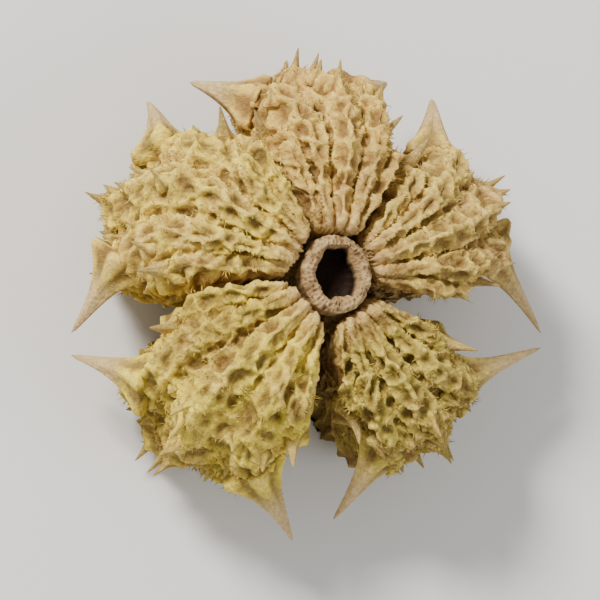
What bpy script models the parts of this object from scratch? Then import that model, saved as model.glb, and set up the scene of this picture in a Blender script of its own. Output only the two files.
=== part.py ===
# Puncture vine burr: five woody nutlets round the broken stub of their stalk.
# Metres, +Z up. The burr stands on its tip with the stalk end up, as it is seen from above.
# The origin is on the burr's axis, on the surface that it rests on.

import math
from collections import namedtuple

import bmesh
import bpy
import numpy as np
from mathutils import Matrix, Vector

BURR_NAME = "puncture_vine_burr"

# One nutlet's own measures: the way it points in degrees from +X, the half angle in degrees
# that it fills round the axis, its size beside the others, and the half width past which it
# gets no wider. A long spine is the distance of its tip from the axis, and how many degrees
# the tip stands off the middle of the split beside it.
Nutlet = namedtuple("Nutlet", "bearing half_angle size half_width left_spine right_spine")

# The five of them, turning clockwise seen from the stalk
NUTLETS = (
    Nutlet(150.0, 33.5, 1.02, 0.00200, (0.0066, 3.0), (0.0065, 5.0)),
    Nutlet(85.5, 30.0, 1.0, 0.00155, (0.0063, 6.0), (0.0062, 6.0)),
    Nutlet(21.0, 33.5, 0.97, 0.00175, (0.0063, 6.0), (0.0068, 2.5)),
    Nutlet(-57.0, 33.0, 0.96, 0.00160, (0.0067, 3.0), (0.0062, 8.0)),
    Nutlet(-137.0, 38.0, 1.04, 0.00210, (0.0068, 5.0), (0.0066, 3.0)),
)

# All five are turned round the axis at mid-height, so that the splits between them don't run
# straight down.
TWIST = math.radians(9.0)
TWIST_HEIGHT = 0.0052

# One nutlet in its own frame: +X points away from the burr's axis and +Y to its left.
KERNEL_RADIUS = 0.0024  # from the axis to the middle of the kernel
KERNEL_HEIGHT = 0.0024
BACK_REACH = 0.0029  # from the kernel out to the back
SIDE_REACH = 0.0032
STALK_END_REACH = 0.0030
TIP_END_REACH = 0.00255  # past the surface, so that the tip end is cut to a flat spot
DOME_POWER = 2.75  # 2 is an ellipsoid, and more is squarer
TIP_TAPER = 0.35  # how much of its full width a nutlet loses towards the tip end
WEDGE_EDGE = 0.00018  # from the axis to the line where a nutlet's two sides would meet
INNER_EDGE = 0.00040  # from the axis to a nutlet's blunt inner edge
NOTCH_RADIUS = 0.00130  # the corner taken out of its stalk end, where the stub stands
NOTCH_FLOOR = 0.00395
EDGE_SHARPNESS = 14.0

# Relief of the back
RIDGE_HEIGHT = 0.00015
RIDGE_PERIOD = 0.45  # of the half width
CREST_HEIGHT = 0.00030
CREST_WIDTH = 0.22
RIB_HEIGHT = 0.00006
RIBS_PER_TURN = 10
SIDE_HOLLOW = 0.00003
GRID_TURNS = 40
GRID_RINGS = 24

# Long spines at mid-height and short ones near the stalk, a pair of each on every nutlet
LONG_SPINE_TURN = math.radians(12.0)
LONG_SPINE_RADIUS = 0.00034
LONG_SPINE_TIP_HEIGHTS = (0.0023, 0.0017)  # left, right: neighbours' spines pass by each other
LONG_SPINE_SHARE = 0.54  # how far out from the crest towards the margin
SHORT_SPINE_TURN = math.radians(50.0)
SHORT_SPINE_SHARE = 0.76
SHORT_SPINE_RADIUS = 0.00021
SHORT_SPINE_LENGTH = 0.00125
SHORT_SPINE_LEAN = (1.0, 0.8, 1.2)  # outward, to the side and up
ROOT_DEPTH = 0.0009
FLARE_RADIUS = 2.0  # of the spine's own radius
FLARE_LENGTH = 0.50  # of the spine's own length
SPINE_SIDES = 6

# Prickles: rows of short points, as the share of the half width, their number and their length
PRICKLE_ROWS = (
    (0.00, 7, 0.00055),
    (-0.30, 4, 0.00036),
    (0.30, 4, 0.00036),
    (-0.58, 5, 0.00042),
    (0.58, 5, 0.00042),
)
PRICKLE_TURNS = (math.radians(-36.0), math.radians(48.0))
PRICKLE_LEAN = Vector((0.45, 0.0, 0.0))  # added to their way out, so that they clear the sides
PRICKLE_RADIUS = 0.00020
PRICKLE_SIDES = 4
PRICKLE_SEED = 41

# The stalk's stub: a short broken tube whose foot sits between the nutlets' shoulders
STUB_RADIUS = 0.00102
STUB_BORE_RADIUS = 0.00060
STUB_TOP = 0.00545
STUB_SHOULDER = 0.00460
STUB_FOOT_RADIUS = 0.00080
STUB_FOOT = 0.00440
STUB_BORE_FLOOR = 0.00468
STUB_EDGE = 0.00008
STUB_SEGMENTS = 24

KERNEL = np.array((KERNEL_RADIUS, 0.0, KERNEL_HEIGHT))


def clear_scene():
    for obj in list(bpy.data.objects):
        bpy.data.objects.remove(obj, do_unlink=True)


def make_collection(name):
    collection = bpy.data.collections.new(name)
    bpy.context.scene.collection.children.link(collection)
    return collection


def make_material(name, color, roughness):
    material = bpy.data.materials.new(name)
    material.use_nodes = True
    shader = material.node_tree.nodes["Principled BSDF"]
    shader.inputs["Base Color"].default_value = (*color, 1.0)
    shader.inputs["Roughness"].default_value = roughness
    shader.inputs["Metallic"].default_value = 0.0
    return material


def smooth_step(low, high, value):
    share = np.clip((value - low) / (high - low), 0.0, 1.0)
    return share * share * (3.0 - 2.0 * share)


def plain_terms(ways, nutlet):
    # One over the distance from the kernel to each limit of the nutlet, along unit ways: its
    # two flat sides, its full width, its blunt inner edge, the notch for the stub and its domed
    # back. The corner for the stub is cut only where it is past the notch's wall and floor.
    half_angle = math.radians(nutlet.half_angle)
    side_distance = (KERNEL_RADIUS - WEDGE_EDGE) * math.sin(half_angle)
    outward, left, up = ways.T
    sides = np.abs(left) * math.cos(half_angle) - outward * math.sin(half_angle)
    side = np.maximum(sides, 0.0) / side_distance
    width = np.abs(left) / (nutlet.half_width * (1.0 - TIP_TAPER * np.maximum(-up, 0.0)))
    inner = np.maximum(-outward, 0.0) / (KERNEL_RADIUS - INNER_EDGE)
    wall = np.maximum(-outward, 0.0) / (KERNEL_RADIUS - NOTCH_RADIUS)
    floor = np.maximum(up, 0.0) / (NOTCH_FLOOR - KERNEL_HEIGHT)
    notch = np.minimum(wall, floor)
    end_reach = np.where(up > 0.0, STALK_END_REACH, TIP_END_REACH)
    shares = np.abs((outward / BACK_REACH, left / SIDE_REACH, up / end_reach))
    dome = (shares**DOME_POWER).sum(axis=0) ** (1.0 / DOME_POWER)
    return side, width, inner, notch, dome


def plain_reach(ways, nutlet):
    # A high power norm of the terms follows the nearest limit and rounds the edges between them.
    terms = plain_terms(ways, nutlet)
    return sum(term**EDGE_SHARPNESS for term in terms) ** (-1.0 / EDGE_SHARPNESS)


def width_share(points, nutlet):
    # Where a point lies between the crest, at 0, and the nutlet's sides, at -1 and 1.
    spread = math.tan(math.radians(nutlet.half_angle))
    half_width = np.maximum(points[:, 0] - WEDGE_EDGE, 1e-6) * spread
    return np.clip(points[:, 1] / half_width, -1.3, 1.3)


def nutlet_points(ways, nutlet):
    # The plain nutlet with its crest, ridges and cross ribs raised along the ways.
    side, width, inner, notch, dome = plain_terms(ways, nutlet)
    reach = plain_reach(ways, nutlet)
    share = width_share(KERNEL + ways * reach[:, None], nutlet)
    turn = np.arctan2(ways[:, 2], ways[:, 0])
    others = np.maximum(np.maximum(side, inner), notch)
    back = 1.0 - smooth_step(0.80, 1.05, others / dome)
    back = back * (1.0 - smooth_step(0.80, 1.05, np.abs(share)))
    ridges = RIDGE_HEIGHT * np.cos(2.0 * math.pi * share / RIDGE_PERIOD)
    ribs = RIB_HEIGHT * np.cos(RIBS_PER_TURN * turn)
    crest = CREST_HEIGHT * np.exp(-((share / CREST_WIDTH) ** 2)) * np.clip(np.cos(turn * 0.8), 0, 1)
    flank = smooth_step(0.85, 1.15, side / np.maximum(np.maximum(dome, inner), width))
    reach = reach + back * (ridges + ribs + crest) - flank * SIDE_HOLLOW
    return KERNEL + ways * reach[:, None]


def way_at(share, turn, nutlet):
    # The way from the kernel to the back's surface at a share of the half width and a turn
    # round the kernel. The lean to the side is found by stepping towards it.
    spread = math.tan(math.radians(nutlet.half_angle))
    lean = 0.0
    for _ in range(12):
        way = np.array(
            ((math.cos(turn) * math.cos(lean), math.sin(lean), math.sin(turn) * math.cos(lean)),)
        )
        reach = plain_reach(way, nutlet)[0]
        half_width = (KERNEL_RADIUS + reach * way[0, 0] - WEDGE_EDGE) * spread
        lean = 0.5 * lean + 0.5 * math.asin(min(max(share * half_width / reach, -0.98), 0.98))
    return way


def cut_flat(points):
    # What would reach below the surface is pressed flat on it.
    points[:, 2] = np.maximum(points[:, 2], 0.0)
    return points


def twist(points):
    # Turned round the burr's axis by a sine of the height, none at either end.
    height = np.clip(points[:, 2] / TWIST_HEIGHT, 0.0, 1.0)
    turn = TWIST * np.sin(math.pi * height)
    across, along = points[:, 0], points[:, 1]
    return np.stack(
        (
            across * np.cos(turn) - along * np.sin(turn),
            across * np.sin(turn) + along * np.cos(turn),
            points[:, 2],
        ),
        axis=1,
    )


def surface_point(way, nutlet):
    return Vector(twist(nutlet_points(way, nutlet) * nutlet.size)[0])


def add_body(name, nutlet, collection):
    mesh = bpy.data.meshes.new(name)
    cage = bmesh.new()
    bmesh.ops.create_uvsphere(
        cage,
        u_segments=GRID_TURNS,
        v_segments=GRID_RINGS,
        radius=1.0,
        matrix=Matrix.Rotation(math.pi / 2.0, 4, "X"),
    )
    ways = np.array([vert.co.normalized() for vert in cage.verts])
    moulded = twist(cut_flat(nutlet_points(ways, nutlet) * nutlet.size))
    for vert, point in zip(cage.verts, moulded):
        vert.co = point
    bmesh.ops.triangulate(cage, faces=cage.faces)
    cage.to_mesh(mesh)
    cage.free()
    body = bpy.data.objects.new(name, mesh)
    collection.objects.link(body)
    return body


def add_thorn(root, tip, radius, sides, collection):
    # A slim cone from its sunken root to its tip.
    axis = Vector(tip) - Vector(root)
    thorn = bmesh.new()
    middle = (Vector(root) + Vector(tip)) / 2.0
    turned = axis.to_track_quat("Z", "Y").to_matrix().to_4x4()
    bmesh.ops.create_cone(
        thorn,
        cap_ends=True,
        segments=sides,
        radius1=radius,
        radius2=radius * 0.06,
        depth=axis.length,
        matrix=Matrix.Translation(middle) @ turned,
    )
    mesh = bpy.data.meshes.new("thorn")
    thorn.to_mesh(mesh)
    thorn.free()
    collection.objects.link(bpy.data.objects.new("thorn", mesh))


def add_spine(base, tip, radius, collection):
    # A long cone and a short wide one round its foot, both rooted below the surface.
    along = (tip - base).normalized()
    root = base - along * ROOT_DEPTH
    add_thorn(root, tip, radius, SPINE_SIDES, collection)
    flare_tip = base + (tip - base) * FLARE_LENGTH
    add_thorn(root, flare_tip, radius * FLARE_RADIUS, SPINE_SIDES, collection)


def add_long_spine(nutlet, side, split, collection):
    # From mid-height towards the split beside it, whose angle from the nutlet's own is given.
    base = surface_point(way_at(side * LONG_SPINE_SHARE, LONG_SPINE_TURN, nutlet), nutlet)
    reach, off_split = nutlet.left_spine if side > 0.0 else nutlet.right_spine
    bearing = math.radians(side * (split - off_split))
    tip_height = LONG_SPINE_TIP_HEIGHTS[0 if side > 0.0 else 1]
    tip = np.array(((reach * math.cos(bearing), reach * math.sin(bearing), tip_height),))
    add_spine(base, Vector(twist(tip)[0]), LONG_SPINE_RADIUS, collection)


def add_short_spine(nutlet, side, collection):
    base = surface_point(way_at(side * SHORT_SPINE_SHARE, SHORT_SPINE_TURN, nutlet), nutlet)
    outward, sideways, upward = SHORT_SPINE_LEAN
    aim = Vector((outward, side * sideways, upward)).normalized()
    add_spine(base, base + aim * SHORT_SPINE_LENGTH, SHORT_SPINE_RADIUS, collection)


def add_prickles(nutlet, draws, collection):
    first, last = PRICKLE_TURNS
    for share, count, length in PRICKLE_ROWS:
        for place in range(count):
            turn = first + (last - first) * (place + draws.uniform(0.25, 0.75)) / count
            way = way_at(share + draws.uniform(-0.06, 0.06), turn, nutlet)
            base = surface_point(way, nutlet)
            lean = Vector(draws.uniform(-0.3, 0.3, 3)) + PRICKLE_LEAN
            aim = (Vector(way[0]) + lean).normalized()
            tip = base + aim * length * draws.uniform(0.75, 1.25)
            add_thorn(base - aim * length, tip, PRICKLE_RADIUS, PRICKLE_SIDES, collection)


def join_thorns(body, thorns):
    # One union of the body with everything that grows from it, applied to its mesh.
    joint = body.modifiers.new("thorns", "BOOLEAN")
    joint.operation = "UNION"
    joint.operand_type = "COLLECTION"
    joint.collection = thorns
    joint.solver = "MANIFOLD"
    shown = body.evaluated_get(bpy.context.evaluated_depsgraph_get())
    joined = bpy.data.meshes.new_from_object(shown)
    body.modifiers.clear()
    body.data = joined
    for thorn in list(thorns.objects):
        bpy.data.objects.remove(thorn, do_unlink=True)
    bpy.data.collections.remove(thorns)


def make_nutlet(number, material, collection):
    nutlet = NUTLETS[number]
    left_neighbour = NUTLETS[number - 1]
    right_neighbour = NUTLETS[(number + 1) % len(NUTLETS)]
    name = f"nutlet_{number + 1}"
    thorns = make_collection(f"{name}_thorns")
    body = add_body(name, nutlet, collection)
    left_split = (left_neighbour.bearing - nutlet.bearing) % 360.0 / 2.0
    right_split = (nutlet.bearing - right_neighbour.bearing) % 360.0 / 2.0
    for side, split in ((1.0, left_split), (-1.0, right_split)):
        add_long_spine(nutlet, side, split, thorns)
        add_short_spine(nutlet, side, thorns)
    add_prickles(nutlet, np.random.default_rng(PRICKLE_SEED + number), thorns)
    join_thorns(body, thorns)
    body.data.materials.clear()
    body.data.materials.append(material)
    body.rotation_euler.z = math.radians(nutlet.bearing)


def make_stub(material, collection):
    # The turned outline runs from the bore's floor up and over the rim, then down to the foot.
    outline = (
        (0.0, STUB_BORE_FLOOR),
        (STUB_BORE_RADIUS, STUB_BORE_FLOOR),
        (STUB_BORE_RADIUS, STUB_TOP - STUB_EDGE),
        (STUB_BORE_RADIUS + STUB_EDGE, STUB_TOP),
        (STUB_RADIUS - STUB_EDGE, STUB_TOP),
        (STUB_RADIUS, STUB_TOP - STUB_EDGE),
        (STUB_RADIUS, STUB_SHOULDER),
        (STUB_FOOT_RADIUS, STUB_FOOT),
        (0.0, STUB_FOOT),
    )
    mesh = bpy.data.meshes.new("stalk_stub")
    corners = [(radius, 0.0, height) for radius, height in outline]
    mesh.from_pydata(corners, [(i, i + 1) for i in range(len(corners) - 1)], [])
    stub = bpy.data.objects.new("stalk_stub", mesh)
    collection.objects.link(stub)
    turned = stub.modifiers.new("turned", "SCREW")
    turned.steps = STUB_SEGMENTS
    turned.render_steps = STUB_SEGMENTS
    turned.use_merge_vertices = True
    turned.merge_threshold = 0.00001
    mesh.materials.append(material)


def main():
    clear_scene()
    collection = make_collection(BURR_NAME)
    husk = make_material("nutlet_husk", (0.46, 0.37, 0.15), 0.75)
    for number in range(len(NUTLETS)):
        make_nutlet(number, husk, collection)
    make_stub(make_material("stalk_wood", (0.42, 0.29, 0.17), 0.8), collection)


main()
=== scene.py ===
import math

import bpy
import numpy as np
from mathutils import Matrix, Vector


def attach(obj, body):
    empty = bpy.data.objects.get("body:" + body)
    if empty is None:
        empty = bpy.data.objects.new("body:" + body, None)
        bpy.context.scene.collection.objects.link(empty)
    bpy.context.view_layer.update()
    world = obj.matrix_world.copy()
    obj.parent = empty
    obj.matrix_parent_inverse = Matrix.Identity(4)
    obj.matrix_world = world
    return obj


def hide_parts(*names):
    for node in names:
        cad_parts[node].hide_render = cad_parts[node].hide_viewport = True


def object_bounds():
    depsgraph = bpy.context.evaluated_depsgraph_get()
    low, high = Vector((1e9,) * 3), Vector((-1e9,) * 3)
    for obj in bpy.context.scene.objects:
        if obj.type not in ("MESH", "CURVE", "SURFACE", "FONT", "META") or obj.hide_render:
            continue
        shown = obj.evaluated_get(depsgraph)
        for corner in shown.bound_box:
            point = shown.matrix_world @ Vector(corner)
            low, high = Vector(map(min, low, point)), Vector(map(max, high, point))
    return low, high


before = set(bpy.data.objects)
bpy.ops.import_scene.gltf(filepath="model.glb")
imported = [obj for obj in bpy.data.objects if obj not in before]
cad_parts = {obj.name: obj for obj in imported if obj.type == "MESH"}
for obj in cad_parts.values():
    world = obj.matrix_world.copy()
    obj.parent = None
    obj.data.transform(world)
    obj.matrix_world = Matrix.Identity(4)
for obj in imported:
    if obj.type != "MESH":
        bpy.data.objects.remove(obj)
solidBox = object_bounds()

mm = 0.001

# The five nutlets, clockwise seen from the stalk: where each points in degrees from +X, the
# half angle it fills, its size, the half width past which it gets no wider, its long spines as the
# tip's distance from the axis and its degrees off the split, its colours, and how far the tan
# blush covers them
nutlets = [
    {"node": "nutlet_1", "bearing": 150.0, "halfAngle": 33.5, "size": 1.02, "halfWidth": 2.0 * mm,
     "leftSpine": (6.6 * mm, 3.0), "rightSpine": (6.5 * mm, 5.0),
     "ridge": (0.97, 0.765, 0.125), "skin": (0.69, 0.505, 0.09), "pit": (0.28, 0.195, 0.055),
     "blush": 0.50},
    {"node": "nutlet_2", "bearing": 85.5, "halfAngle": 30.0, "size": 1.0, "halfWidth": 1.55 * mm,
     "leftSpine": (6.3 * mm, 6.0), "rightSpine": (6.2 * mm, 6.0),
     "ridge": (0.88, 0.63, 0.155), "skin": (0.63, 0.415, 0.105), "pit": (0.33, 0.20, 0.065),
     "blush": 0.60},
    {"node": "nutlet_3", "bearing": 21.0, "halfAngle": 33.5, "size": 0.97, "halfWidth": 1.75 * mm,
     "leftSpine": (6.3 * mm, 6.0), "rightSpine": (6.8 * mm, 2.5),
     "ridge": (0.81, 0.605, 0.155), "skin": (0.55, 0.39, 0.10), "pit": (0.32, 0.21, 0.065),
     "blush": 0.75},
    {"node": "nutlet_4", "bearing": -57.0, "halfAngle": 33.0, "size": 0.96, "halfWidth": 1.6 * mm,
     "leftSpine": (6.7 * mm, 3.0), "rightSpine": (6.2 * mm, 8.0),
     "ridge": (0.69, 0.54, 0.105), "skin": (0.43, 0.325, 0.062), "pit": (0.23, 0.155, 0.038),
     "blush": 0.45},
    {"node": "nutlet_5", "bearing": -137.0, "halfAngle": 38.0, "size": 1.04, "halfWidth": 2.1 * mm,
     "leftSpine": (6.8 * mm, 5.0), "rightSpine": (6.6 * mm, 3.0),
     "ridge": (0.97, 0.775, 0.10), "skin": (0.68, 0.525, 0.07), "pit": (0.31, 0.22, 0.052),
     "blush": 0.50},
]


def smoothStep(low, high, value):
    # An S curve from 0 at low to 1 at high
    share = np.clip((value - low) / (high - low), 0.0, 1.0)
    return share * share * (3.0 - 2.0 * share)


def scatter(seed, *cells):
    # A repeatable draw between 0 and 1 for each whole-numbered cell: the fraction of a large sine
    mixed = sum(cell * weight for cell, weight in zip(cells, (127.1, 311.7, 74.7)))
    value = np.sin(mixed + seed * 19.19) * 43758.5453
    return value - np.floor(value)


def noise(points, size, seed):
    # Draws at the corners of a cubic lattice, blended by an S curve; about -1 to 1
    spot = points / size
    cell = np.floor(spot)
    x, y, z = np.moveaxis(smoothStep(0.0, 1.0, spot - cell), -1, 0)
    total = 0.0
    for i in (0, 1):
        for j in (0, 1):
            for k in (0, 1):
                weight = (x if i else 1 - x) * (y if j else 1 - y) * (z if k else 1 - z)
                corner = scatter(seed, cell[..., 0] + i, cell[..., 1] + j, cell[..., 2] + k)
                total = total + weight * corner
    return total * 2.0 - 1.0


def cloudy(points, size, seed):
    # Three octaves of noise, each half the size and height of the one before
    return sum(noise(points, size / 2**n, seed + n) / 2**n for n in range(3)) / 1.75


def cellBorders(across, along, seed):
    # How much farther the second nearest of scattered points is than the nearest, in a plane
    # with one point in each unit square: 0 on the border between two cells, most in the middle
    column, row = np.floor(across), np.floor(along)
    nearest = np.full(across.shape, 9.0)
    second = np.full(across.shape, 9.0)
    for i in (-1, 0, 1):
        for j in (-1, 0, 1):
            dx = column + i + 0.15 + 0.7 * scatter(seed, column + i, row + j) - across
            dy = row + j + 0.15 + 0.7 * scatter(seed + 7, column + i, row + j) - along
            distance = np.hypot(dx, dy)
            second = np.minimum(second, np.maximum(nearest, distance))
            nearest = np.minimum(nearest, distance)
    return second - nearest


# The plain form of one nutlet, in its own frame: +X away from the burr's axis, +Y to its left
form = {
    "kernel": np.array((2.4, 0.0, 2.4)) * mm,
    "backReach": 2.9 * mm,
    "sideReach": 3.2 * mm,
    "stalkEndReach": 3.0 * mm,
    "tipEndReach": 2.55 * mm,
    "domePower": 2.75,
    "tipTaper": 0.35,
    "wedgeEdge": 0.18 * mm,
    "innerEdge": 0.40 * mm,
    "notchRadius": 1.14 * mm,
    "notchFloor": 3.95 * mm,
    "edgeSharpness": 14.0,
    "ridgeHeight": 0.15 * mm,
    "ridgePeriod": 0.45,
    "crestHeight": 0.30 * mm,
    "crestWidth": 0.22,
    "ribHeight": 0.06 * mm,
    "ribsPerTurn": 10,
    "twist": math.radians(9.0),
    "twistHeight": 5.2 * mm,
    "gridTurns": 400,
    "gridRings": 196,
}


def plainTerms(ways, nutlet):
    # One over the distance from the kernel to the flat sides, the widest width, the inner edge,
    # the stub's notch and the domed back, along unit ways
    outward, left, up = np.moveaxis(ways, -1, 0)
    halfAngle = math.radians(nutlet["halfAngle"])
    kernelRadius, _, kernelHeight = form["kernel"]
    sides = np.abs(left) * math.cos(halfAngle) - outward * math.sin(halfAngle)
    side = np.maximum(sides, 0.0) / ((kernelRadius - form["wedgeEdge"]) * math.sin(halfAngle))
    inner = np.maximum(-outward, 0.0) / (kernelRadius - form["innerEdge"])
    wall = np.maximum(-outward, 0.0) / (kernelRadius - form["notchRadius"] / nutlet["size"])
    floor = np.maximum(up, 0.0) / (form["notchFloor"] - kernelHeight)
    power = form["domePower"]
    endReach = np.where(up > 0.0, form["stalkEndReach"], form["tipEndReach"])
    dome = (
        np.abs(outward / form["backReach"]) ** power
        + np.abs(left / form["sideReach"]) ** power
        + np.abs(up / endReach) ** power
    ) ** (1.0 / power)
    width = np.abs(left) / (nutlet["halfWidth"] * (1.0 - form["tipTaper"] * np.maximum(-up, 0.0)))
    return side, width, inner, np.minimum(wall, floor), dome


def plainReach(ways, nutlet):
    # A power norm of those terms follows the nearest limit and rounds the edges
    power = form["edgeSharpness"]
    return sum(term**power for term in plainTerms(ways, nutlet)) ** (-1.0 / power)


def readNutlet(ways, nutlet):
    # Points of the ridged nutlet along unit ways, with where each lies: its share of the half
    # width, its turn round the kernel, how far it is past the back, and how far on a flank
    side, width, inner, notch, dome = plainTerms(ways, nutlet)
    reach = plainReach(ways, nutlet)
    points = form["kernel"] + ways * reach[..., None]
    spread = math.tan(math.radians(nutlet["halfAngle"]))
    halfWidth = np.maximum(points[..., 0] - form["wedgeEdge"], 1e-6) * spread
    share = np.clip(points[..., 1] / halfWidth, -1.3, 1.3)
    turn = np.arctan2(ways[..., 2], ways[..., 0])
    others = np.maximum(np.maximum(side, inner), notch)
    back = 1.0 - smoothStep(0.80, 1.05, others / dome)
    raised = back * (1.0 - smoothStep(0.80, 1.05, np.abs(share)))
    ridges = form["ridgeHeight"] * np.cos(2.0 * math.pi * share / form["ridgePeriod"])
    ribs = form["ribHeight"] * np.cos(form["ribsPerTurn"] * turn)
    crest = form["crestHeight"] * np.exp(-((share / form["crestWidth"]) ** 2))
    crest = crest * np.clip(np.cos(turn * 0.8), 0.0, 1.0)
    flank = smoothStep(0.85, 1.15, side / np.maximum(np.maximum(dome, inner), width))
    reach = reach + raised * (ridges + ribs + crest)
    return form["kernel"] + ways * reach[..., None], share, turn, others / dome, flank


def wayAt(share, turn, nutlet):
    # The unit way to the back's surface at a share of the half width and a turn round the
    # kernel, found by leaning to the side step by step
    spread = math.tan(math.radians(nutlet["halfAngle"]))
    lean = np.zeros_like(turn)
    for _ in range(12):
        ways = np.stack(
            (np.cos(turn) * np.cos(lean), np.sin(lean), np.sin(turn) * np.cos(lean)), axis=-1
        )
        reach = plainReach(ways, nutlet)
        outward = form["kernel"][0] + reach * ways[..., 0] - form["wedgeEdge"]
        aim = np.clip(share * outward * spread / reach, -0.98, 0.98)
        lean = 0.5 * lean + 0.5 * np.arcsin(aim)
    return ways


def twist(points):
    # Turned round the burr's axis by a sine of the height, none at either end
    height = np.clip(points[..., 2] / form["twistHeight"], 0.0, 1.0)
    turn = form["twist"] * np.sin(math.pi * height)
    x, y = points[..., 0], points[..., 1]
    turned = (x * np.cos(turn) - y * np.sin(turn), x * np.sin(turn) + y * np.cos(turn))
    return np.stack((*turned, points[..., 2]), axis=-1)


def heldBelow(points):
    # What would stand over the solids' own top nears it by an exponential instead
    top, room = solidBox[1][2], 0.25 * mm
    over = np.maximum(points[..., 2] - (top - room), 0.0)
    points[..., 2] = np.minimum(points[..., 2], top - room) + room * (1.0 - np.exp(-over / room))
    return points


def unit(vectors):
    # Each vector over its own length
    return vectors / np.maximum(np.linalg.norm(vectors, axis=-1, keepdims=True), 1e-12)


def closedSkin(rings, firstPole, lastPole):
    # Quads between rings of points, with a fan of triangles to a pole at each end
    count, turns = rings.shape[:2]
    points = np.concatenate((rings.reshape(-1, 3), [firstPole, lastPole]))
    step = np.arange(turns)
    after = (step + 1) % turns
    row = np.arange(count - 1)[:, None] * turns
    quads = np.stack((row + step, row + after, row + after + turns, row + step + turns), axis=-1)
    first = np.stack((after, step, np.full(turns, count * turns)), axis=-1)
    last = (count - 1) * turns
    final = np.stack((last + step, last + after, np.full(turns, count * turns + 1)), axis=-1)
    return {"points": points, "quads": quads.reshape(-1, 4), "fans": np.concatenate((first, final))}


def facingOut(skin):
    # Six times the volume inside, from the fans and the halves of the quads; turned if negative
    corners = np.concatenate((skin["fans"], skin["quads"][:, :3], skin["quads"][:, (0, 2, 3)]))
    a, b, c = np.moveaxis(skin["points"][corners], 1, 0)
    if np.einsum("ij,ij->i", a, np.cross(b, c)).sum() < 0.0:
        skin["quads"] = skin["quads"][:, ::-1]
        skin["fans"] = skin["fans"][:, ::-1]
    return skin


def addMesh(name, skins, material, bearing=0.0):
    # One mesh of several closed skins, each with the same named values on its points
    mesh = bpy.data.meshes.new(name)
    points = np.concatenate([skin["points"] for skin in skins])
    turn = np.array(Matrix.Rotation(math.radians(bearing), 3, "Z"))
    faces, start = [], 0
    for skin in skins:
        faces += (skin["quads"] + start).tolist() + (skin["fans"] + start).tolist()
        start += len(skin["points"])
    mesh.from_pydata((points @ turn.T).tolist(), [], faces)
    for key in skins[0]["values"]:
        values = np.concatenate([skin["values"][key] for skin in skins])
        if values.ndim == 1:
            mesh.attributes.new(key, "FLOAT", "POINT").data.foreach_set("value", values)
        else:
            spots = mesh.attributes.new(key, "FLOAT_VECTOR", "POINT").data
            spots.foreach_set("vector", values.ravel())
    mesh.shade_smooth()
    mesh.materials.append(material)
    piece = bpy.data.objects.new(name, mesh)
    bpy.context.scene.collection.objects.link(piece)
    return piece


# The long spines, one near each side of a nutlet: where they start, then how high their tips
# are on the left and on the right
longSpines = {
    "turn": math.radians(12.0),
    "share": 0.54,
    "tipHeights": (2.3 * mm, 1.7 * mm),
    "shape": {"radius": 0.22 * mm, "flare": 0.40 * mm, "flareReach": 0.62 * mm,
              "hill": 0.32 * mm, "hillWidth": 0.75 * mm, "bow": 0.16 * mm,
              "rings": 40, "sides": 40, "pale": 1.0},
}

# The short spines higher up, which lean away from the nutlet's middle
shortSpines = {
    "turn": math.radians(50.0),
    "share": 0.76,
    "length": 1.25 * mm,
    "lean": np.array((1.0, 0.8, 1.2)),
    "shape": {"radius": 0.14 * mm, "flare": 0.28 * mm, "flareReach": 0.32 * mm,
              "hill": 0.20 * mm, "hillWidth": 0.50 * mm, "bow": 0.06 * mm,
              "rings": 20, "sides": 14, "pale": 0.55},
}

# Rows of prickles, each as its share of the half width, its number and their length
prickles = {
    "rows": [(0.0, 7, 0.55 * mm), (-0.30, 4, 0.36 * mm), (0.30, 4, 0.36 * mm),
             (-0.58, 5, 0.42 * mm), (0.58, 5, 0.42 * mm)],
    "turns": (math.radians(-36.0), math.radians(48.0)),
    "lean": np.array((0.45, 0.0, 0.0)),
    "stray": 0.3,
    "lengths": (0.75, 1.25),
    "seed": 41,
    "shape": {"radius": 0.09 * mm, "flare": 0.12 * mm, "flareReach": 0.12 * mm,
              "hill": 0.12 * mm, "hillWidth": 0.22 * mm, "bow": 0.02 * mm,
              "rings": 10, "sides": 8, "pale": 0.3},
}


def plainThorns(nutlet, splits):
    # Every spine and prickle as a base on the surface, a tip and a shape. A long spine's tip is
    # at a distance from the axis and a few degrees off the split, a short one's at a length along
    # its lean, and a prickle's along the surface's way with a draw added.
    thorns = []

    def baseAt(share, turn):
        way = wayAt(np.array(share), np.array(turn), nutlet)
        return way, twist(readNutlet(way, nutlet)[0] * nutlet["size"])

    ends = (nutlet["leftSpine"], nutlet["rightSpine"])
    for side, split, end, height in zip((1.0, -1.0), splits, ends, longSpines["tipHeights"]):
        bearing = side * math.radians(split - end[1])
        tip = np.array((end[0] * math.cos(bearing), end[0] * math.sin(bearing), height))
        base = baseAt(side * longSpines["share"], longSpines["turn"])[1]
        thorns.append({"base": base, "tip": twist(tip), **longSpines["shape"]})
        base = baseAt(side * shortSpines["share"], shortSpines["turn"])[1]
        aim = unit(shortSpines["lean"] * (1.0, side, 1.0))
        tip = base + aim * shortSpines["length"]
        thorns.append({"base": base, "tip": tip, **shortSpines["shape"]})
    draws = np.random.default_rng(prickles["seed"] + nutlets.index(nutlet))
    first, last = prickles["turns"]
    stray = prickles["stray"]
    for share, count, length in prickles["rows"]:
        for place in range(count):
            turn = first + (last - first) * (place + draws.uniform(0.25, 0.75)) / count
            way, base = baseAt(share + draws.uniform(-0.06, 0.06), turn)
            aim = unit(way + draws.uniform(-stray, stray, 3) + prickles["lean"])
            tip = base + aim * length * draws.uniform(*prickles["lengths"])
            thorns.append({"base": base, "tip": tip, **prickles["shape"]})
    return thorns


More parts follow.
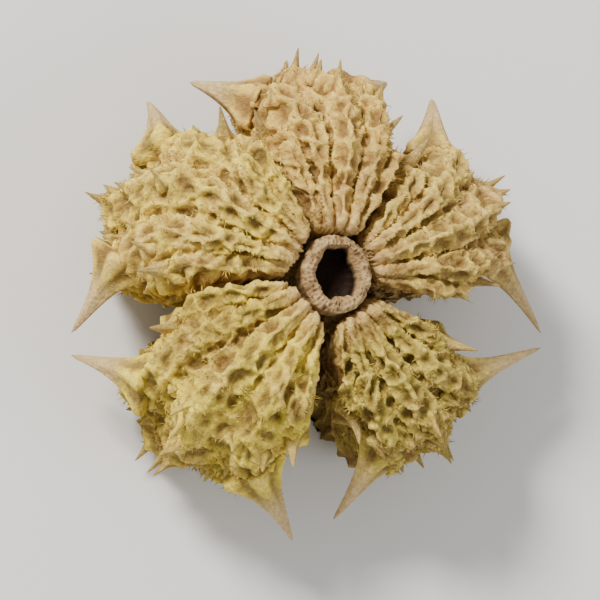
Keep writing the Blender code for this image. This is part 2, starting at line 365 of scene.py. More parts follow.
def thornSkin(thorn, seed):
    # A round profile carried from a root below the surface to the tip: thinner along it by a
    # power, thick at its foot by an exponential flare, fluted and bowed by sines
    base, tip = thorn["base"], thorn["tip"]
    length = np.linalg.norm(tip - base)
    along = (tip - base) / length
    across = unit(np.cross(along, (0.0, 0.0, 1.0)))
    upward = np.cross(across, along)
    rootDepth = min(0.45 * mm, length * 0.5)
    place = np.linspace(-rootDepth, length, thorn["rings"]) / length
    flare = thorn["flare"] * np.exp(-np.maximum(place, -0.12) * length / thorn["flareReach"])
    taper = thorn["radius"] * np.clip(1.0 - place, 0.0, 1.0) ** 0.75
    radius = (taper + flare) * smoothStep(1.0, 0.94, place) + 0.012 * mm
    angle = np.linspace(0.0, 2.0 * math.pi, thorn["sides"], endpoint=False)
    flutes = 1.0 + 0.15 * np.clip(1.0 - place, 0.0, 1.0)[:, None] * np.cos(
        5.0 * angle + 1.5 * place[:, None] + seed
    )
    bow = thorn["bow"] * np.sin(math.pi * np.clip(place, 0.0, 1.0))
    path = base + along * (place * length)[:, None] + upward * bow[:, None]
    ring = np.cos(angle)[:, None] * across + np.sin(angle)[:, None] * upward
    rings = path[:, None] + (radius[:, None] * flutes)[..., None] * ring
    spot = np.stack(np.broadcast_arrays(
        0.3 * mm * np.cos(angle), 0.3 * mm * np.sin(angle), (place * length)[:, None] + seed * mm
    ), axis=-1)
    skin = closedSkin(rings, path[0], path[-1] + along * 0.02 * mm)
    tipShare = np.repeat(np.clip(place, 0.0, 1.0), thorn["sides"])
    tipShare = np.concatenate((tipShare, (0.0, 1.0)))
    fluting = np.concatenate(((flutes - 1.0).reshape(-1) * 4.0, (0.0, 0.0)))
    skin["values"] = {
        "raised": np.clip(0.60 + fluting, 0.0, 1.0),
        "flank": np.zeros_like(tipShare),
        "spine": smoothStep(-0.05, 0.55, tipShare) * thorn["pale"],
        "inward": np.zeros_like(tipShare),
        "spot": np.concatenate((spot.reshape(-1, 3), spot[(0, -1), (0, 0)])) / mm,
    }
    return facingOut(skin)


# What the husk carries on top of that form: a comb of ridges along the back, a net of drawn-out
# cells, a finer net, wrinkles, small warts, the flanks' own net, grain, and a lip round the stub.
# The stray sizes are of the noise that bends its lines, and inwardReach says how far from the axis
# the lip fades out.
# fullLift, fullRelief and middleLevel turn heights into the level from 0 to 1 that colours it, darker
# low and paler high: partly the husk's own tone, partly painted shade in the pits and painted highlight
# on the ridges.
husk = {
    "straySizes": (0.9 * mm, 0.7 * mm, 0.4 * mm),
    "inwardReach": (1.25 * mm, 2.5 * mm),
    "combPeriod": 0.19,
    "combHeight": 0.04 * mm,
    "netLength": 0.60 * mm,
    "netColumns": 0.17,
    "netHeight": 0.11 * mm,
    "pitDepth": 0.13 * mm,
    "wander": 0.45,
    "fineLength": 0.28 * mm,
    "fineColumns": 0.085,
    "fineHeight": 0.045 * mm,
    "wrinklePeriod": 0.075,
    "wrinkleHeight": 0.02 * mm,
    "wartSize": 0.26 * mm,
    "wartHeight": 0.055 * mm,
    "flankCell": 0.42 * mm,
    "flankHeight": 0.06 * mm,
    "grainSize": 0.16 * mm,
    "grainHeight": 0.028 * mm,
    "lipHeight": 0.06 * mm,
    "fullLift": 0.42 * mm,
    "fullRelief": 0.34 * mm,
    "middleLevel": 0.56,
    "tanDark": (0.29, 0.16, 0.05),
    "tanPale": (0.76, 0.515, 0.20),
    "stain": (0.26, 0.145, 0.045),
    "speck": (0.13, 0.07, 0.025),
    "dust": (0.45, 0.34, 0.22),
    # Painted light: the moat round the stub is given a paler colour to offset its shade
    "moatPaintedLight": (0.70, 0.48, 0.22),
    # Painted highlight on the crests
    "crestHighlight": (0.97, 0.80, 0.27),
    "spinePale": (0.62, 0.46, 0.165),
    "spineTip": (0.68, 0.505, 0.25),
    "spineStreak": (0.34, 0.21, 0.08),
    # Painted shade: how much the colour darkens at the foot, and the heights over which it fades
    "lowShadeAmount": 0.50,
    "lowShadeHeights": (0.4 * mm, 4.4 * mm),
}


def netOf(across, along, seed):
    # Sharp ridges on the borders of scattered cells, as a power of how near the border is, and a
    # pit in the middle of each cell; both from 0 to 1
    border = cellBorders(across, along, seed)
    return np.clip(1.0 - border / 0.36, 0.0, 1.0) ** 1.25, smoothStep(0.25, 0.70, border)


def huskRelief(points, share, arc, others, flank, seed):
    # How far the husk stands proud of its plain form: a net of ridges and pits drawn out along
    # the back, a comb, a finer net, warts and wrinkles, then the flanks' own net, grain and the
    # lip. With it come how deep each place is in a pit, which darkens the colour there as painted
    # shade, and how near to the stub.
    straySize, acrossSize, fineSize = husk["straySizes"]
    stray = cloudy(points, straySize, seed + 3)
    strayAcross = cloudy(points, acrossSize, seed + 11)
    fineStray = cloudy(points, fineSize, seed + 17)
    wander = husk["wander"]
    comb = 1.0 - 2.0 * np.abs(np.sin(math.pi * (
        share / husk["combPeriod"] + 0.75 * stray + 0.30 * fineStray
    )))
    ridge, pit = netOf(share / husk["netColumns"] + wander * strayAcross,
                       arc / husk["netLength"] + wander * stray, seed)
    fineRidge, finePit = netOf(share / husk["fineColumns"] + wander * fineStray,
                               arc / husk["fineLength"] + wander * stray, seed + 2)
    flankRidge, flankPit = netOf(points[..., 0] / husk["flankCell"] + 0.6 * stray,
                                 points[..., 2] / (husk["flankCell"] * 1.6) + 0.6 * strayAcross,
                                 seed + 5)
    wrinkles = np.sin(2.0 * math.pi * (share / husk["wrinklePeriod"] + 1.4 * stray))
    warts = smoothStep(0.15, 0.65, cloudy(points, husk["wartSize"], seed + 29))
    radius = np.hypot(points[..., 0], points[..., 1])
    inward = 1.0 - smoothStep(*husk["inwardReach"], radius)
    skinned = 1.0 - smoothStep(0.98, 1.30, others)
    strength = skinned * (1.0 - 0.62 * inward) * (0.85 + 0.5 * stray)
    relief = strength * (ridge * husk["netHeight"] - pit * husk["pitDepth"])
    relief = relief + strength * comb * husk["combHeight"] * (1.0 - 0.5 * inward)
    relief = relief + strength * (fineRidge - finePit) * husk["fineHeight"]
    relief = relief + strength * warts * husk["wartHeight"]
    relief = relief + wrinkles * husk["wrinkleHeight"] * (0.3 + 0.2 * skinned + 0.8 * inward)
    relief = relief + (1.0 - skinned) * (flankRidge - flankPit) * husk["flankHeight"]
    relief = relief + cloudy(points, husk["grainSize"], seed + 21) * husk["grainHeight"]
    relief = relief + skinned * inward**2 * husk["lipHeight"]
    # The second value is painted shade: it darkens the colour in the middle of each pit
    return relief, 0.22 * pit + 0.12 * finePit, inward


def nutletWays():
    # Ways round the kernel on rings between poles at the two flanks. A cubic spaces the rings,
    # and a sine the places along a ring, closer together on the back than where it isn't seen.
    turns, rings = form["gridTurns"], form["gridRings"]
    place = (np.arange(rings) + 0.5) / rings * 2.0 - 1.0
    lean = (0.72 * place + 0.28 * place**3) * math.pi / 2.0
    around = np.linspace(0.0, 2.0 * math.pi, turns, endpoint=False)
    around = around - 0.28 * np.sin(around - math.radians(50.0))
    lean, around = np.meshgrid(lean, around, indexing="ij")
    return np.stack(
        (np.cos(lean) * np.cos(around), np.sin(lean), np.cos(lean) * np.sin(around)), axis=-1
    )


def nutletSkin(nutlet, thorns):
    # A ball of ways round the kernel, moulded to the ridged nutlet, with the husk's relief along
    # its normals and a small hill, a bell curve, under every thorn
    seed = nutlets.index(nutlet) * 13
    points, share, turn, others, flank = readNutlet(nutletWays(), nutlet)
    arc = turn * form["backReach"]
    relief, sunk, inward = huskRelief(points, share, arc, others, flank, seed)
    spot = np.stack((points[..., 1], 0.3 * points[..., 0] * flank, arc), axis=-1)
    points = (points + gridNormals(points) * relief[..., None]) * nutlet["size"]

    hills = np.zeros_like(points)
    for thorn in thorns:
        base, aim = untwist(thorn["base"]), unit(thorn["tip"] - thorn["base"])
        distance = np.linalg.norm(points - base, axis=-1)
        rise = thorn["hill"] * np.exp(-((distance / thorn["hillWidth"]) ** 2))
        hills = hills + rise[..., None] * aim
    points = points + hills
    points[..., 2] = np.maximum(points[..., 2], 0.0)
    points = heldBelow(twist(points))

    skin = closedSkin(points, points[0].mean(axis=0), points[-1].mean(axis=0))
    poles = (0.5, 0.5)
    lift = np.linalg.norm(hills, axis=-1) / husk["fullLift"]
    # The colour's level follows the relief, pits darker and crests paler: partly the husk's own tone,
    # partly painted shade and highlight
    level = husk["middleLevel"] + relief / husk["fullRelief"] + 0.10 * lift - sunk
    skin["values"] = {
        "raised": np.clip(np.append(level, poles), 0.0, 1.0),
        "flank": np.append(flank, poles),
        "spine": np.clip(np.append(lift * 0.10, (0.0, 0.0)), 0.0, 1.0),
        "inward": np.append(inward, (0.0, 0.0)),
        "spot": np.concatenate((spot.reshape(-1, 3), spot[(0, -1), (0, 0)])) / mm,
    }
    return facingOut(skin), points, relief


# Short stiff hairs between the prickles
bristles = {
    "count": 520,
    "lengths": (0.10 * mm, 0.26 * mm),
    "radius": 0.014 * mm,
    "bend": 0.30,
    "seed": 73,
}


def bristleSkin(nutlet, points, relief):
    # Three-sided hairs rooted at the highest of the places drawn on the back, so on its ridges:
    # a triangle below the surface, a narrower one half way up, then a tip, bent over sideways
    draws = np.random.default_rng(bristles["seed"] + nutlets.index(nutlet))
    rings, turns = points.shape[:2]
    drawn = 3 * bristles["count"]
    ring = draws.integers(round(rings * 0.20), round(rings * 0.80), drawn)
    turn = draws.integers(0, round(turns * 0.42), drawn) - round(turns * 0.14)
    highest = np.argsort(-relief[ring, turn])[:bristles["count"]]
    ring, turn = ring[highest], turn[highest]
    base, normal = points[ring, turn], gridNormals(points)[ring, turn]
    aim = unit(normal + draws.uniform(-0.35, 0.35, base.shape))
    length = draws.uniform(*bristles["lengths"], bristles["count"])[:, None]
    sideways = unit(np.cross(aim, draws.uniform(-1.0, 1.0, base.shape)))
    across = np.cross(aim, sideways)
    root = base - aim * 0.03 * mm
    middle = base + aim * length * 0.5 + sideways * length * bristles["bend"] * 0.25
    tip = base + aim * length * 0.95 + sideways * length * bristles["bend"]
    corners = []
    for centre, radius in ((root, 1.3 * bristles["radius"]), (middle, 0.8 * bristles["radius"])):
        for third in range(3):
            angle = 2.0 * math.pi * third / 3.0
            corners.append(centre + radius * (math.cos(angle) * sideways + math.sin(angle) * across))
    hairs = heldBelow(np.stack((*corners, tip), axis=1))
    start = np.arange(len(base))[:, None, None] * hairs.shape[1]
    quads = start + np.array(((0, 1, 4, 3), (1, 2, 5, 4), (2, 0, 3, 5)))
    fans = start + np.array(((3, 4, 6), (4, 5, 6), (5, 3, 6), (2, 1, 0)))
    count = hairs.shape[0] * hairs.shape[1]
    skin = {"points": hairs.reshape(-1, 3), "quads": quads.reshape(-1, 4),
            "fans": fans.reshape(-1, 3)}
    skin["values"] = {
        "raised": np.full(count, 0.8),
        "flank": np.zeros(count),
        "spine": np.full(count, 0.25),
        "inward": np.zeros(count),
        "spot": np.repeat(base, hairs.shape[1], axis=0) / mm,
    }
    return facingOut(skin)


def gridNormals(points):
    # The cross product of the two directions along the grid, turned away from the kernel
    along = np.roll(points, -1, axis=1) - np.roll(points, 1, axis=1)
    across = np.gradient(points, axis=0)
    normal = unit(np.cross(along, across))
    away = np.sign(np.einsum("...i,...i->...", normal, points - form["kernel"]))
    return normal * away[..., None]


def untwist(point):
    # The height doesn't change in a twist, so turning back by the same sine undoes it
    height = min(max(point[2] / form["twistHeight"], 0.0), 1.0)
    turn = -form["twist"] * math.sin(math.pi * height)
    x, y, z = point
    turned = (x * math.cos(turn) - y * math.sin(turn), x * math.sin(turn) + y * math.cos(turn))
    return np.array((*turned, z))


def makeNutlet(nutlet, before, after):
    # The splits are half way between its bearing and its neighbours'
    gaps = (before["bearing"] - nutlet["bearing"], nutlet["bearing"] - after["bearing"])
    thorns = plainThorns(nutlet, [gap % 360.0 / 2.0 for gap in gaps])
    body, points, relief = nutletSkin(nutlet, thorns)
    skins = [body, bristleSkin(nutlet, points, relief)]
    skins += [thornSkin(thorn, seed * 1.7) for seed, thorn in enumerate(thorns)]
    piece = addMesh(f"{nutlet['node']}_husk", skins, huskMaterial(nutlet), nutlet["bearing"])
    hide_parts(nutlet["node"])
    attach(piece, "root")
    print(piece.name, len(piece.data.polygons), "faces")


# The broken stalk: a wall from a foot narrower than its shoulder up to a torn rim round a bore.
# The swells and heights say how far fibres, bundles, tears and pores move that plain outline.
stub = {
    "radius": 1.02 * mm,
    "boreRadius": 0.60 * mm,
    "top": 5.45 * mm,
    "shoulder": 4.60 * mm,
    "footRadius": 0.80 * mm,
    "foot": 4.40 * mm,
    "boreFloor": 4.55 * mm,
    "oval": np.array((0.95, 1.03, 1.0)),
    "boreOval": np.array((-0.04, 0.10, 0.0)),
    "turns": 240,
    "rings": 110,
    "fibreSize": 0.15 * mm,
    "fibreSwell": 0.040 * mm,
    "bundleSize": 0.42 * mm,
    "bundleSwell": 0.050 * mm,
    "tornSize": 0.85 * mm,
    "tornHeight": 0.07 * mm,
    "boreSwell": 0.16 * mm,
    "splinterSize": 0.13 * mm,
    "splinterHeight": 0.075 * mm,
    "poreSize": 0.15 * mm,
    "poreHeight": 0.028 * mm,
    "pale": (0.53, 0.375, 0.185),
    "dark": (0.20, 0.11, 0.045),
    "pith": (0.33, 0.20, 0.085),
    # Painted shade: near black down in the bore
    "bore": (0.016, 0.006, 0.002),
}


def makeStub():
    # An outline from the bore's floor up over the rim and down to the foot, turned round the
    # axis, with a ragged rim, uneven walls and lengthways fibres
    corners = np.array((
        (0.02 * mm, stub["boreFloor"]),
        (stub["boreRadius"] * 0.8, stub["boreFloor"]),
        (stub["boreRadius"], stub["boreFloor"] + 0.15 * mm),
        (stub["boreRadius"], stub["top"] - 0.10 * mm),
        (stub["boreRadius"] + 0.10 * mm, stub["top"]),
        (stub["radius"] - 0.12 * mm, stub["top"]),
        (stub["radius"], stub["top"] - 0.14 * mm),
        (stub["radius"] * 0.97, stub["shoulder"] + 0.3 * mm),
        (stub["radius"], stub["shoulder"]),
        (stub["footRadius"], stub["foot"]),
        (0.02 * mm, stub["foot"]),
    ))
    steps = np.linalg.norm(np.diff(corners, axis=0), axis=1).cumsum()
    steps = np.concatenate(((0.0,), steps))
    places = np.linspace(0.0, steps[-1], stub["rings"])
    radius = np.interp(places, steps, corners[:, 0])
    height = np.interp(places, steps, corners[:, 1])
    for _ in range(2):
        radius[1:-1] = (radius[:-2] + 2.0 * radius[1:-1] + radius[2:]) / 4.0
        height[1:-1] = (height[:-2] + 2.0 * height[1:-1] + height[2:]) / 4.0
    angle = np.linspace(0.0, 2.0 * math.pi, stub["turns"], endpoint=False)
    circle = np.stack((np.cos(angle), np.sin(angle), 0.0 * angle), axis=-1)
    rise = np.stack((0.0 * height, 0.0 * height, height), axis=-1)[:, None]
    plain = radius[:, None, None] * circle + rise
    high = smoothStep(stub["shoulder"], stub["top"], height)[:, None]
    inside = smoothStep(0.80, 0.60, radius / stub["radius"])[:, None]
    middle = smoothStep(0.0, 0.3, radius / stub["radius"])[:, None]
    fibres = cloudy(plain * (1.0, 1.0, 0.10), stub["fibreSize"], 9.0)
    bundles = cloudy(plain * (1.0, 1.0, 0.25), stub["bundleSize"], 17.0)
    torn = cloudy(circle * 1.6 * mm, stub["tornSize"], 31.0)
    splinters = cloudy(plain * (1.0, 1.0, 0.0), stub["splinterSize"], 23.0)
    rim, pore = netOf(angle * stub["radius"] / stub["poreSize"] + 0.5 * bundles,
                      (radius[:, None] + 0.0 * angle) / stub["poreSize"], 27.0)
    swell = (fibres * stub["fibreSwell"] + bundles * stub["bundleSwell"]) * middle
    swell = swell + inside * middle * torn * stub["boreSwell"]
    points = plain + swell[..., None] * circle
    ragged = torn * stub["tornHeight"] + splinters * stub["splinterHeight"]
    ragged = ragged + (rim - pore) * stub["poreHeight"]
    points[..., 2] += high * ragged * (1.0 - 0.4 * inside)
    points = points * (stub["oval"] + inside[..., None] * stub["boreOval"])
    skin = closedSkin(points, points[0].mean(axis=0), points[-1].mean(axis=0))
    # Painted shade: the bore darkens to near black below its rim
    sunk = smoothStep(stub["top"] - 0.08 * mm, stub["top"] - 0.55 * mm, height)[:, None]
    deep = inside * sunk
    level = 0.55 + 0.45 * fibres + 0.35 * bundles + 0.35 * splinters - 0.35 * pore * high
    skin["values"] = {
        "raised": np.clip(np.append(level, (0.0, 0.5)), 0.0, 1.0),
        "deep": np.clip(np.append(deep + 0.0 * angle, (1.0, 0.0)), 0.0, 1.0),
        "pith": np.append(inside + 0.0 * angle, (1.0, 0.0)),
        "spot": np.concatenate((plain.reshape(-1, 3), plain[(0, -1), (0, 0)])) / mm,
    }
    piece = addMesh("stalk_stub_wood", [facingOut(skin)], stubMaterial())
    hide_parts("stalk_stub")
    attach(piece, "root")
    print(piece.name, len(piece.data.polygons), "faces")


def addNode(tree, kind, place, **values):
    # A shader node at a place, with its own settings and the fixed values of its sockets
    node = tree.nodes.new(kind)
    node.location = place
    for key, value in values.items():
        if hasattr(node, key):
            setattr(node, key, value)
        else:
            node.inputs[key.replace("_", " ")].default_value = value
    return node


def grainGroup():
    # The skin of a dry husk or stalk: soft mottling, grit, dark specks, a tan blush and brown
    # stains by place, and fibres along the third part of a spot given in millimetres
    tree = bpy.data.node_groups.new("dryGrain", "ShaderNodeTree")
    for name in ("Coordinates", "Spot"):
        tree.interface.new_socket(name, in_out="INPUT", socket_type="NodeSocketVector")
    for name, value in (("Mottle Scale", 1800.0), ("Grit Scale", 9000.0), ("Fibre Scale", 9.0)):
        socket = tree.interface.new_socket(name, in_out="INPUT", socket_type="NodeSocketFloat")
        socket.default_value = value
    for name in ("Mottle", "Grit", "Specks", "Blush", "Stain", "Fibre"):
        tree.interface.new_socket(name, in_out="OUTPUT", socket_type="NodeSocketFloat")
    given = addNode(tree, "NodeGroupInput", (-800, 0))
    out = addNode(tree, "NodeGroupOutput", (400, 0))
    link = tree.links.new
    mottle = addNode(tree, "ShaderNodeTexNoise", (-200, 400), Detail=5.0, Roughness=0.62)
    grit = addNode(tree, "ShaderNodeTexNoise", (-200, 150), Detail=3.0, Roughness=0.7)
    specks = addNode(tree, "ShaderNodeTexVoronoi", (-200, -100))
    stain = addNode(tree, "ShaderNodeTexNoise", (-200, -350), Scale=480.0, Detail=6.0)
    stain.inputs["Distortion"].default_value = 0.6
    blush = addNode(tree, "ShaderNodeTexNoise", (-200, -850), Scale=720.0, Detail=5.0)
    blush.inputs["Distortion"].default_value = 0.9
    fibre = addNode(tree, "ShaderNodeTexNoise", (-200, -600), Detail=4.0, Roughness=0.55)
    stretch = addNode(tree, "ShaderNodeMapping", (-500, -600))
    stretch.inputs["Scale"].default_value = (1.0, 1.0, 0.12)
    for texture in (mottle, grit, specks, stain, blush):
        link(given.outputs["Coordinates"], texture.inputs["Vector"])
    link(given.outputs["Spot"], stretch.inputs["Vector"])
    link(stretch.outputs["Vector"], fibre.inputs["Vector"])
    link(given.outputs["Mottle Scale"], mottle.inputs["Scale"])
    link(given.outputs["Grit Scale"], grit.inputs["Scale"])
    link(given.outputs["Grit Scale"], specks.inputs["Scale"])
    link(given.outputs["Fibre Scale"], fibre.inputs["Scale"])
    link(mottle.outputs["Fac"], out.inputs["Mottle"])
    link(grit.outputs["Fac"], out.inputs["Grit"])
    link(rangeOf(tree, (100, -100), specks.outputs["Distance"], 0.0, 0.32, 1.0, 0.0),
         out.inputs["Specks"])
    link(rangeOf(tree, (100, -350), stain.outputs["Fac"], 0.52, 0.72), out.inputs["Stain"])
    link(rangeOf(tree, (100, -850), blush.outputs["Fac"], 0.46, 0.64), out.inputs["Blush"])
    link(fibre.outputs["Fac"], out.inputs["Fibre"])


def mixColor(tree, place, factor, first, second, mode="MIX"):
    # A blend of two colours, where each may be a socket or a fixed colour
    node = addNode(tree, "ShaderNodeMix", place, data_type="RGBA", blend_type=mode)
    for socket, value in ((node.inputs[0], factor), (node.inputs[6], first), (node.inputs[7], second)):
        if isinstance(value, bpy.types.NodeSocket):
            tree.links.new(value, socket)
        else:
            socket.default_value = value if isinstance(value, float) else (*value, 1.0)
    return node.outputs[2]


def rangeOf(tree, place, value, low, high, toLow=0.0, toHigh=1.0):
    # A value stretched from one range to another
    node = addNode(tree, "ShaderNodeMapRange", place)
    for key, number in (("From Min", low), ("From Max", high), ("To Min", toLow), ("To Max", toHigh)):
        node.inputs[key].default_value = number
    tree.links.new(value, node.inputs["Value"])
    return node.outputs["Result"]


def mathOf(tree, place, operation, first, second):
    # One sum of two values, where each may be a socket or a fixed number
    node = addNode(tree, "ShaderNodeMath", place, operation=operation)
    for socket, value in zip(node.inputs, (first, second)):
        if isinstance(value, float):
            socket.default_value = value
        else:
            tree.links.new(value, socket)
    return node.outputs[0]


def newMaterial(name):
    # A material with its node tree and the shader in it
    material = bpy.data.materials.new(name)
    material.use_nodes = True
    tree = material.node_tree
    return material, tree, tree.nodes["Principled BSDF"]


def valueOf(tree, name, place):
    # A value that the mesh carries on its points
    node = addNode(tree, "ShaderNodeAttribute", place, attribute_name=name)
    return node.outputs["Fac"]


def addGrain(tree, place, mottleScale, fibreScale):
    # The shared grain, read at the piece's own coordinates and at its spots along the fibres
    grain = addNode(tree, "ShaderNodeGroup", place, node_tree=bpy.data.node_groups["dryGrain"])
    grain.inputs["Mottle Scale"].default_value = mottleScale
    grain.inputs["Fibre Scale"].default_value = fibreScale
    coordinates = addNode(tree, "ShaderNodeTexCoord", (place[0] - 250, place[1] + 100))
    spot = addNode(tree, "ShaderNodeAttribute", (place[0] - 250, place[1] - 150), attribute_name="spot")
    tree.links.new(coordinates.outputs["Object"], grain.inputs["Coordinates"])
    tree.links.new(spot.outputs["Vector"], grain.inputs["Spot"])
    return grain.outputs


def paintedLowShadeOf(tree, place):
    # Painted shade in the husk's low places: darkest near the foot, none from a height upwards
    coordinates = addNode(tree, "ShaderNodeTexCoord", (place[0] - 400, place[1]))
    parts = addNode(tree, "ShaderNodeSeparateXYZ", (place[0] - 200, place[1]))
    tree.links.new(coordinates.outputs["Object"], parts.inputs["Vector"])
    return rangeOf(tree, place, parts.outputs["Z"], *husk["lowShadeHeights"],
                   husk["lowShadeAmount"], 0.0)


def huskMaterial(nutlet):
    # Pit, skin and ridge colours by how far a place is raised, partly the husk's own tone and partly
    # painted shade in the pits and painted highlight on the ridges, with painted shade low down; tan
    # over them, the moat round the stub painted paler against its shade, then stains, pale spines,
    # specks, grit and painted highlights on the crests
    material, tree, shader = newMaterial(f"{nutlet['node']}_skin")
    raised = valueOf(tree, "raised", (-1600, 300))
    flank = valueOf(tree, "flank", (-1600, 100))
    spine = valueOf(tree, "spine", (-1600, -100))
    inward = valueOf(tree, "inward", (-1600, -300))
    grain = addGrain(tree, (-1600, 700), 1800.0, 9.0)
    mottle, fibre = grain["Mottle"], grain["Fibre"]

    unevenness = mathOf(tree, (-1250, 600), "ADD",
                        rangeOf(tree, (-1400, 700), mottle, 0.3, 0.7, -0.28, 0.28),
                        rangeOf(tree, (-1400, 500), fibre, 0.3, 0.7, -0.2, 0.2))
    shifted = mathOf(tree, (-1100, 450), "ADD", raised, unevenness)
    # Painted shade: the level, and with it the colour, drops towards the nutlets' foot
    shifted = mathOf(tree, (-1100, 300), "SUBTRACT", shifted, paintedLowShadeOf(tree, (-1250, 250)))
    # Pit to skin to ridge colour by level: partly painted shade in the pits and painted highlight on
    # the ridges
    color = mixColor(tree, (-850, 450), rangeOf(tree, (-950, 500), shifted, 0.08, 0.50),
                     nutlet["pit"], nutlet["skin"])
    color = mixColor(tree, (-650, 450), rangeOf(tree, (-750, 300), shifted, 0.48, 0.88),
                     color, nutlet["ridge"])
    # Tan where the nutlets face each other, round the stub, and in a blush over the rest; nearest the
    # stub, the moat is painted paler to offset its shade
    tan = mixColor(tree, (-800, 150), rangeOf(tree, (-950, 100), shifted, 0.2, 0.8),
                   husk["tanDark"], husk["tanPale"])
    # Painted light: the moat nearest the stub is coloured paler to offset its shade
    tan = mixColor(tree, (-650, 150), rangeOf(tree, (-950, 0), inward, 0.93, 1.0), tan,
                   husk["moatPaintedLight"])
    side = mathOf(tree, (-650, -50), "MAXIMUM", mathOf(tree, (-850, -50), "MULTIPLY", flank, 0.85),
                  mathOf(tree, (-850, -200), "MULTIPLY", inward, 0.8))
    side = mathOf(tree, (-550, -50), "MAXIMUM", side,
                  mathOf(tree, (-850, -350), "MULTIPLY", grain["Blush"], nutlet["blush"]))
    color = mixColor(tree, (-450, 400), side, color, tan)
    # Brown stains, then spines that are palest at the tip, then specks
    color = mixColor(tree, (-300, 400), rangeOf(tree, (-450, 600), grain["Stain"], 0.0, 1.0, 0.0, 0.55),
                     color, husk["stain"])
    pale = mixColor(tree, (-450, 50), rangeOf(tree, (-600, 0), spine, 0.5, 1.0),
                    husk["spinePale"], husk["spineTip"])
    streaked = mixColor(tree, (-300, 50), rangeOf(tree, (-450, -150), fibre, 0.52, 0.75, 0.0, 0.7),
                        pale, husk["spineStreak"])
    color = mixColor(tree, (-150, 400), rangeOf(tree, (-300, 200), spine, 0.05, 0.6), color, streaked)
    color = mixColor(tree, (0, 400), rangeOf(tree, (-150, 150), grain["Specks"], 0.55, 1.0, 0.0, 0.5),
                     color, husk["speck"])
    color = mixColor(tree, (150, 400), rangeOf(tree, (0, 150), grain["Grit"], 0.38, 0.60, 0.42, 0.0),
                     color, husk["dust"], "MULTIPLY")
    # Painted highlights: pale straw on the highest crests, flecked by the grit
    paintedCrestHighlight = mathOf(tree, (150, 150), "MULTIPLY", rangeOf(tree, (0, 0), shifted, 0.62, 0.95),
                    rangeOf(tree, (0, -150), grain["Grit"], 0.50, 0.66, 0.0, 0.55))
    color = mixColor(tree, (300, 400), paintedCrestHighlight, color, husk["crestHighlight"])
    tree.links.new(color, shader.inputs["Base Color"])
    tree.links.new(rangeOf(tree, (-150, -50), mottle, 0.3, 0.7, 0.78, 0.95),
                   shader.inputs["Roughness"])
    shader.inputs["Specular IOR Level"].default_value = 0.18

    rough = mathOf(tree, (-600, -400), "ADD", mathOf(tree, (-800, -350), "MULTIPLY", mottle, 0.7),
                   mathOf(tree, (-800, -500), "MULTIPLY", grain["Grit"], 1.1))
    height = mathOf(tree, (-450, -450), "ADD", rough, mathOf(
        tree, (-600, -600), "MULTIPLY", fibre, 0.75))
    bump = addNode(tree, "ShaderNodeBump", (-300, -400), Strength=1.0, Distance=0.07 * mm)
    tree.links.new(height, bump.inputs["Height"])
    tree.links.new(bump.outputs["Normal"], shader.inputs["Normal"])
    return material


def stubMaterial():
    # Dark to pale wood by how far a place is raised, pith towards the bore, and painted shade, near
    # black, down in the bore
    material, tree, shader = newMaterial("stalk_wood_skin")
    raised = valueOf(tree, "raised", (-1200, 300))
    deep = valueOf(tree, "deep", (-1200, 0))
    pith = valueOf(tree, "pith", (-1200, -200))
    grain = addGrain(tree, (-1200, 700), 1800.0, 12.0)
    unevenness = mathOf(tree, (-850, 600), "ADD",
                        rangeOf(tree, (-1000, 700), grain["Mottle"], 0.3, 0.7, -0.2, 0.2),
                        rangeOf(tree, (-1000, 500), grain["Fibre"], 0.3, 0.7, -0.2, 0.2))
    shifted = mathOf(tree, (-750, 400), "ADD", raised, unevenness)
    color = mixColor(tree, (-550, 400), rangeOf(tree, (-650, 400), shifted, 0.1, 0.85),
                     stub["dark"], stub["pale"])
    color = mixColor(tree, (-400, 400), rangeOf(tree, (-550, 100), pith, 0.2, 1.0, 0.0, 0.55),
                     color, stub["pith"])
    # Painted shade down in the bore
    color = mixColor(tree, (-250, 400), deep, color, stub["bore"])
    color = mixColor(tree, (-100, 400), rangeOf(tree, (-250, 150), grain["Specks"], 0.5, 1.0, 0.0, 0.4),
                     color, stub["dark"])
    tree.links.new(color, shader.inputs["Base Color"])
    tree.links.new(rangeOf(tree, (-250, -50), grain["Mottle"], 0.3, 0.7, 0.7, 0.9),
                   shader.inputs["Roughness"])
    shader.inputs["Specular IOR Level"].default_value = 0.25
    height = mathOf(tree, (-450, -350), "ADD", grain["Mottle"], grain["Fibre"])
    bump = addNode(tree, "ShaderNodeBump", (-250, -300), Strength=0.9, Distance=0.05 * mm)
    tree.links.new(height, bump.inputs["Height"])
    tree.links.new(bump.outputs["Normal"], shader.inputs["Normal"])
    return material


def makeFloor():
    # One flat square
    mesh = bpy.data.meshes.new("floor")
    reach = 0.5
    mesh.from_pydata([(-reach, -reach, 0), (reach, -reach, 0), (reach, reach, 0), (-reach, reach, 0)],
                     [], [(0, 1, 2, 3)])
    floor = bpy.data.objects.new("floor", mesh)
    bpy.context.scene.collection.objects.link(floor)
    material, _, shader = newMaterial("pale_floor")
    shader.inputs["Base Color"].default_value = (0.80, 0.79, 0.77, 1.0)
    shader.inputs["Roughness"].default_value = 0.9
    mesh.materials.append(material)


def aimAt(thing, target, upward=(0.0, 1.0, 0.0)):
    # -Z at the target and +Y as near to upward as it can be
    back = (thing.location - Vector(target)).normalized()
    right = Vector(upward).cross(back).normalized()
    turned = Matrix((right, back.cross(right), back)).transposed()
    thing.rotation_euler = turned.to_euler()


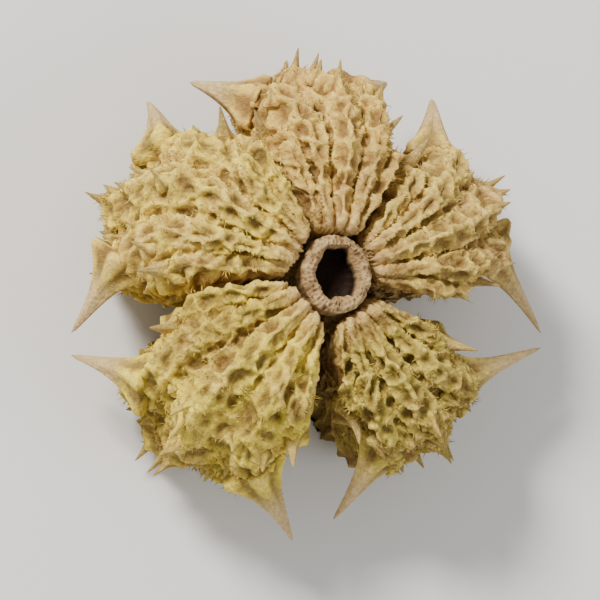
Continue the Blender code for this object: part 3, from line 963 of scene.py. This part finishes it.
# A square lamp each for the key and the fill, and an even sky
studio = {
    "lamps": [
        {"name": "key", "place": (-0.12, 0.11, 0.15), "size": 0.05, "power": 0.80,
         "color": (1.0, 0.96, 0.90)},
        {"name": "fill", "place": (0.14, -0.08, 0.12), "size": 0.12, "power": 0.13,
         "color": (0.96, 0.98, 1.0)},
    ],
    "lampTarget": (0.0, 0.0, 0.003),
    "skyColor": (1.0, 0.99, 0.97, 1.0),
    "skyStrength": 0.53,
}


def makeLights():
    # Each lamp at its place and turned to the target, and the sky as the world's background
    for values in studio["lamps"]:
        lamp = bpy.data.lights.new(values["name"], "AREA")
        lamp.size = values["size"]
        lamp.energy = values["power"]
        lamp.color = values["color"]
        light = bpy.data.objects.new(values["name"], lamp)
        light.location = values["place"]
        bpy.context.scene.collection.objects.link(light)
        aimAt(light, studio["lampTarget"])
    world = bpy.data.worlds.new("studio")
    world.use_nodes = True
    sky = world.node_tree.nodes["Background"]
    sky.inputs["Color"].default_value = studio["skyColor"]
    sky.inputs["Strength"].default_value = studio["skyStrength"]
    bpy.context.scene.world = world


# The camera leans away from straight above, towards the picture's left and a little down
view = {
    "lean": math.radians(17.0),
    "towards": math.radians(205.0),
    "distance": 0.25,
    "target": (-0.0003, -0.0004, 0.0028),
    "frameWidth": 0.0160,
    "sensorWidth": 36.0,
}


def makeCamera():
    # From the target, the distance along the lean; the lens shows the frame's width there
    camera = bpy.data.cameras.new("camera")
    camera.sensor_width = view["sensorWidth"]
    camera.lens = view["sensorWidth"] * view["distance"] / view["frameWidth"]
    camera.clip_start = 0.02
    camera.clip_end = 5.0
    eye = bpy.data.objects.new("camera", camera)
    flat = math.sin(view["lean"])
    away = Vector((flat * math.cos(view["towards"]), flat * math.sin(view["towards"]),
                   math.cos(view["lean"])))
    eye.location = Vector(view["target"]) + away * view["distance"]
    aimAt(eye, view["target"])
    bpy.context.scene.collection.objects.link(eye)
    bpy.context.scene.camera = eye


grainGroup()
for number, nutlet in enumerate(nutlets):
    makeNutlet(nutlet, nutlets[number - 1], nutlets[(number + 1) % len(nutlets)])
makeStub()
makeFloor()
makeLights()
makeCamera()
print("floor, lights and camera are in place")

bpy.context.view_layer.update()
